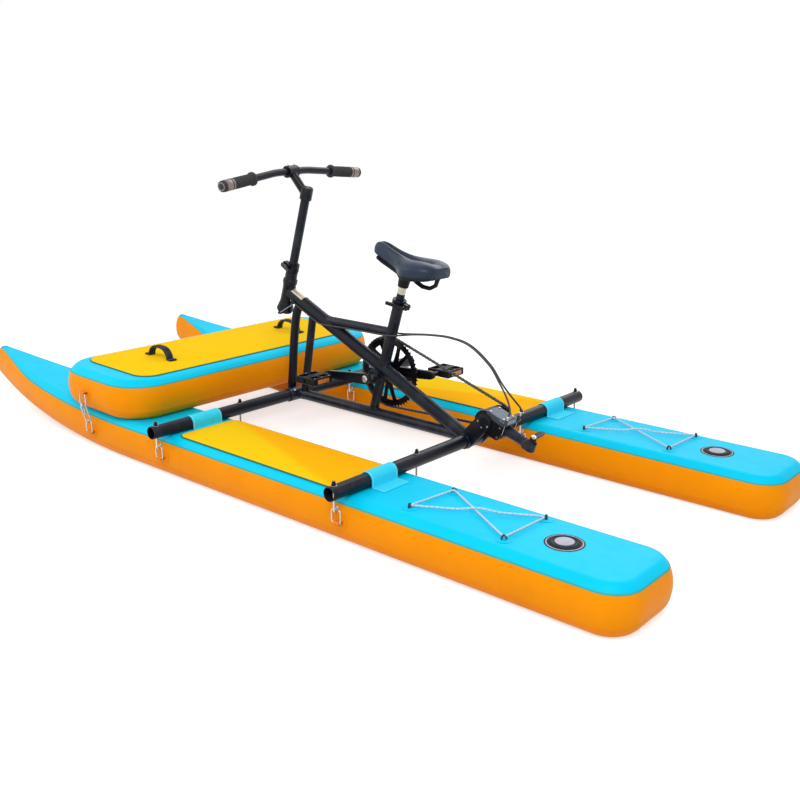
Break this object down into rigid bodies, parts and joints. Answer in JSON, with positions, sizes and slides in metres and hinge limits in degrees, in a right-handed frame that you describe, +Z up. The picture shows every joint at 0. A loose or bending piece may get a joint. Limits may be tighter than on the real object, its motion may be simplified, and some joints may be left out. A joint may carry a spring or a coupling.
{
  "type": "water bike",
  "caption": "Pedal-driven inflatable catamaran: a frame with saddle, handlebar, cranks and a tilting steered propeller drive on hulls with a cross board at the bow.",
  "frame": {"origin": "on the ground, midway between the hulls and at half the length of the craft", "axes": "+X towards the bow, +Y to port, +Z up"},
  "size_m": [2.66, 1.16, 0.8742],
  "materials": {
    "hull_skin": "satin",
    "foam_pad": "matte",
    "hull_webbing": "satin",
    "valve_plastic": "satin",
    "elastic_cord": "matte",
    "handle_webbing": "matte",
    "frame_paint": "satin",
    "black_plastic": "satin",
    "grip_rubber": "matte",
    "saddle_cover": "satin",
    "stainless": "polished",
    "drive_metal": "satin",
    "chain_metal": "satin",
    "cable_sheath": "satin"
  },
  "bodies": {
    "root": {"main_frame": "frame_paint", "front_beam": "frame_paint", "rear_beam": "frame_paint", "bow_board": "hull_skin", "bow_board_pad": "foam_pad", "seat_clamp": "frame_paint", "drive_chain": "chain_metal", "port_hull": "hull_skin", "port_deck_pad": "foam_pad", "port_valve": "valve_plastic", "port_deck_cord": "elastic_cord", "port_front_strap": "hull_webbing", "port_rear_strap": "hull_webbing", "port_outer_front_hook": "stainless", "port_inner_front_hook": "stainless", "port_outer_rear_hook": "stainless", "port_inner_rear_hook": "stainless", "port_board_clip": "stainless", "port_board_handle": "handle_webbing", "port_steering_cable": "cable_sheath", "starboard_hull": "hull_skin", "starboard_deck_pad": "foam_pad", "starboard_valve": "valve_plastic", "starboard_deck_cord": "elastic_cord", "starboard_front_strap": "hull_webbing", "starboard_rear_strap": "hull_webbing", "starboard_outer_front_hook": "stainless", "starboard_inner_front_hook": "stainless", "starboard_outer_rear_hook": "stainless", "starboard_inner_rear_hook": "stainless", "starboard_board_clip": "stainless", "starboard_board_handle": "handle_webbing", "starboard_steering_cable": "cable_sheath"},
    "steering": {"steerer_tube": "frame_paint", "column_clamp": "frame_paint"},
    "column_lever_arm": {"column_lever": "black_plastic"},
    "column": {"column_tube": "frame_paint", "stem": "frame_paint", "handlebar": "frame_paint", "left_grip": "grip_rubber", "right_grip": "grip_rubber"},
    "seat": {"seat_post": "stainless", "saddle_base": "black_plastic", "saddle_cushion": "saddle_cover"},
    "seat_lever_arm": {"seat_lever": "black_plastic"},
    "crank": {"crank_axle": "stainless", "chainring": "frame_paint", "left_crank": "frame_paint", "right_crank": "frame_paint"},
    "left_pedal_body": {"left_pedal": "black_plastic"},
    "right_pedal_body": {"right_pedal": "black_plastic"},
    "drive": {"gear_case": "black_plastic", "gear_cover": "drive_metal"},
    "sprocket": {"drive_sprocket": "drive_metal", "input_shaft": "stainless"},
    "leg": {"drive_leg": "frame_paint"},
    "inner_shaft": {"leg_shaft": "stainless"},
    "screw": {"propeller": "black_plastic", "propeller_shaft": "stainless"},
    "button": {"front_button": "stainless"}
  },
  "joints": [
    {"name": "steering_turn", "type": "hinge", "parent": "root", "child": "steering", "pos_m": [0.2156, 0, 0.415], "axis": [-0.2823, 0, 0.9593], "range_deg": [-39.7, 30.3]},
    {"name": "column_height", "type": "slide", "parent": "steering", "child": "column", "axis": [-0.2823, 0, 0.9593], "range_m": [-0.05, 0.04]},
    {"name": "column_lever_turn", "type": "hinge", "parent": "steering", "child": "column_lever_arm", "pos_m": [0.20125, 0.01821, 0.56505], "axis": [0.2823, 0, -0.9593], "range_deg": [0, 150]},
    {"name": "seat_height", "type": "slide", "parent": "root", "child": "seat", "axis": [-0.2773, 0, 0.9608], "range_m": [-0.03, 0.06]},
    {"name": "seat_lever_turn", "type": "hinge", "parent": "root", "child": "seat_lever_arm", "pos_m": [-0.30225, 0.0158, 0.48897], "axis": [-0.2773, 0, 0.9608], "range_deg": [0, 150]},
    {"name": "crank_turn", "type": "hinge", "parent": "root", "child": "crank", "pos_m": [-0.198, 0, 0.268], "axis": [0, 1, 0], "continuous": true},
    {"name": "left_pedal_turn", "type": "hinge", "parent": "crank", "child": "left_pedal_body", "pos_m": [-0.04853, 0.1325, 0.25545], "axis": [0, 1, 0], "continuous": true},
    {"name": "right_pedal_turn", "type": "hinge", "parent": "crank", "child": "right_pedal_body", "pos_m": [-0.34747, -0.1325, 0.28055], "axis": [0, 1, 0], "continuous": true},
    {"name": "drive_tilt", "type": "hinge", "parent": "root", "child": "drive", "pos_m": [-0.61, 0, 0.212], "axis": [0, -1, 0], "range_deg": [0, 70], "deforming": ["port_steering_cable", "starboard_steering_cable"]},
    {"name": "sprocket_turn", "type": "hinge", "parent": "drive", "child": "sprocket", "pos_m": [-0.61, 0, 0.212], "axis": [0, 1, 0], "continuous": true},
    {"name": "leg_steer", "type": "hinge", "parent": "drive", "child": "leg", "pos_m": [-0.61, 0, 0.212], "axis": [-0.9438, 0, -0.3305], "range_deg": [-39.7, 30.3]},
    {"name": "inner_shaft_turn", "type": "hinge", "parent": "drive", "child": "inner_shaft", "pos_m": [-0.61, 0, 0.212], "axis": [-0.9438, 0, -0.3305], "continuous": true},
    {"name": "screw_turn", "type": "hinge", "parent": "leg", "child": "screw", "pos_m": [-0.74685, 0, 0.16408], "axis": [-0.3294, 0.0819, 0.9406], "continuous": true},
    {"name": "front_button_press", "type": "slide", "parent": "root", "child": "button", "axis": [0.7071, 0, -0.7071], "range_m": [0, 0.0035], "stiffness_N_per_m": 800, "springref_m": -0.001}
  ],
  "couplings": [
    {"joint": "sprocket_turn", "follows": "crank_turn", "ratio": 3},
    {"joint": "inner_shaft_turn", "follows": "crank_turn", "ratio": 3},
    {"joint": "screw_turn", "follows": "crank_turn", "ratio": 3},
    {"joint": "leg_steer", "follows": "steering_turn", "ratio": 1}
  ]
}
